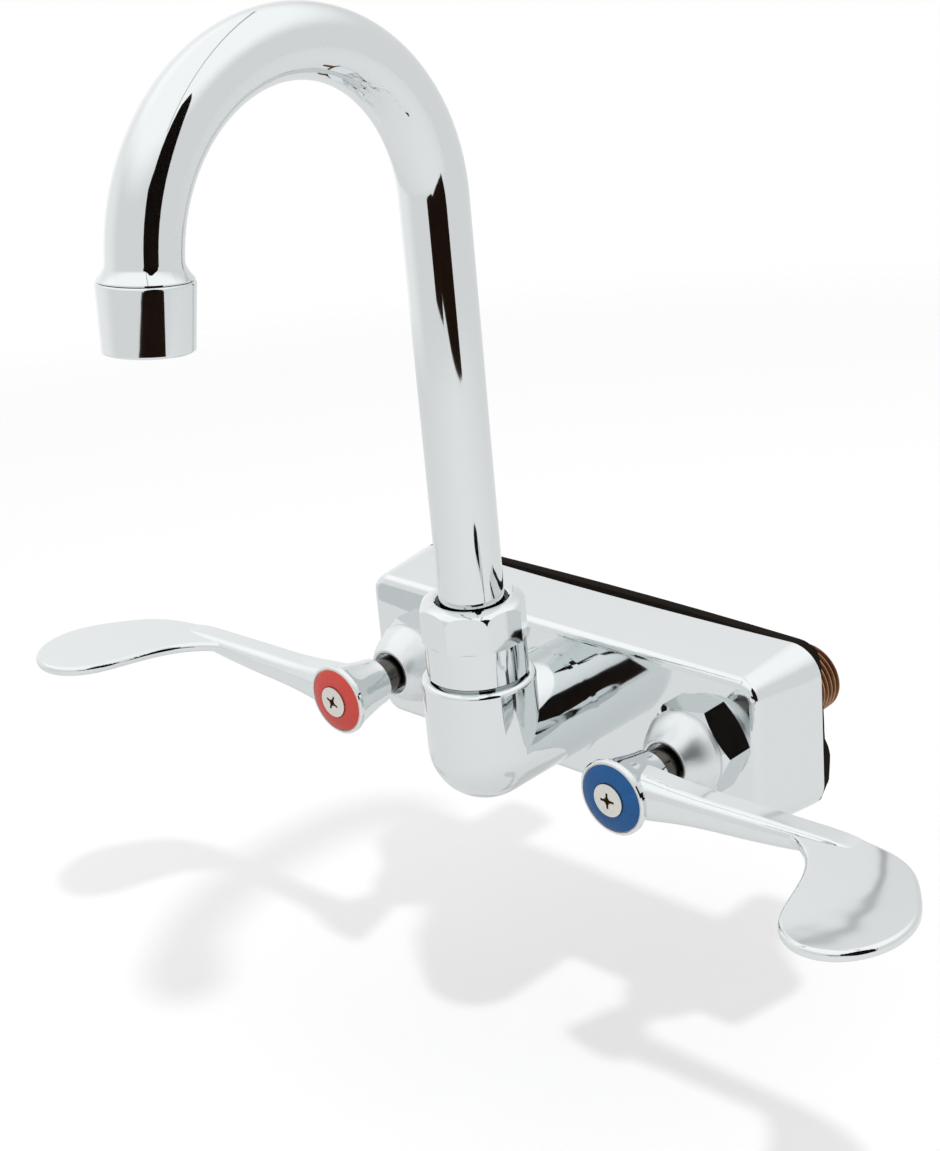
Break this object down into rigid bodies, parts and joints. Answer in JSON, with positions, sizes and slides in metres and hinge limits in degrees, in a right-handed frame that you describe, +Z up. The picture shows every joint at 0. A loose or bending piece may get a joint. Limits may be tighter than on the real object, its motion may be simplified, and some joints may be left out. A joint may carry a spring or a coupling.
{
  "type": "wall-mounted gooseneck faucet",
  "caption": "Wall-mounted chrome mixing faucet with a swivelling gooseneck spout and long wrist-blade handles over quarter-turn valves.",
  "frame": {"origin": "on the wall face, midway between the two valves and level with them", "axes": "+Y into the wall, the faucet stands out towards -Y, +Z up, +X to the right as seen from the front"},
  "size_m": [0.3031, 0.1799, 0.2238],
  "materials": {
    "chrome_body": "polished chrome plate on cast brass",
    "chrome_spout": "polished chrome plate on drawn brass",
    "chrome_handle": "polished chrome plate on a casting",
    "nipple_brass": "bare red brass, dulled",
    "brass": "machined brass",
    "steel": "turned stainless steel",
    "black_rubber": "matte",
    "seal_rubber": "matte",
    "ceramic": "lapped ceramic",
    "bearing_plastic": "moulded",
    "insert_plastic": "moulded",
    "red_index": "moulded",
    "blue_index": "moulded"
  },
  "bodies": {
    "wall_body": {"faucet_body": "chrome_body", "wall_gasket": "black_rubber", "spout_elbow": "chrome_spout", "swivel_nut": "chrome_spout", "hot_inlet_nipple": "nipple_brass", "hot_valve_bonnet": "chrome_body", "hot_bonnet_seal": "seal_rubber", "hot_bonnet_cap": "chrome_body", "hot_fixed_disc": "ceramic", "hot_seat_seal": "seal_rubber", "cold_inlet_nipple": "nipple_brass", "cold_valve_bonnet": "chrome_body", "cold_bonnet_seal": "seal_rubber", "cold_bonnet_cap": "chrome_body", "cold_fixed_disc": "ceramic", "cold_seat_seal": "seal_rubber"},
    "gooseneck": {"spout_tube": "chrome_spout", "spout_sleeve": "brass", "spout_seals": "seal_rubber", "bearing_ring": "bearing_plastic", "outlet_adapter": "brass", "aerator_housing": "chrome_spout", "aerator_washer": "seal_rubber", "aerator_insert": "insert_plastic", "aerator_screen": "steel"},
    "hot_valve_handle": {"hot_handle": "chrome_handle", "hot_index_ring": "red_index", "hot_handle_screw": "steel", "hot_valve_stem": "brass", "hot_stem_seals": "seal_rubber", "hot_turning_disc": "ceramic"},
    "cold_valve_handle": {"cold_handle": "chrome_handle", "cold_index_ring": "blue_index", "cold_handle_screw": "steel", "cold_valve_stem": "brass", "cold_stem_seals": "seal_rubber", "cold_turning_disc": "ceramic"}
  },
  "joints": [
    {"name": "spout_swivel", "type": "hinge", "parent": "wall_body", "child": "gooseneck", "pos_m": [0, -0.0543, 0.02], "axis": [0, 0, 1], "range_deg": [-110, 110]},
    {"name": "hot_handle_turn", "type": "hinge", "parent": "wall_body", "child": "hot_valve_handle", "pos_m": [-0.0508, -0.05, 0], "axis": [0, -1, 0], "range_deg": [0, 90]},
    {"name": "cold_handle_turn", "type": "hinge", "parent": "wall_body", "child": "cold_valve_handle", "pos_m": [0.0508, -0.05, 0], "axis": [0, 1, 0], "range_deg": [0, 90]}
  ]
}
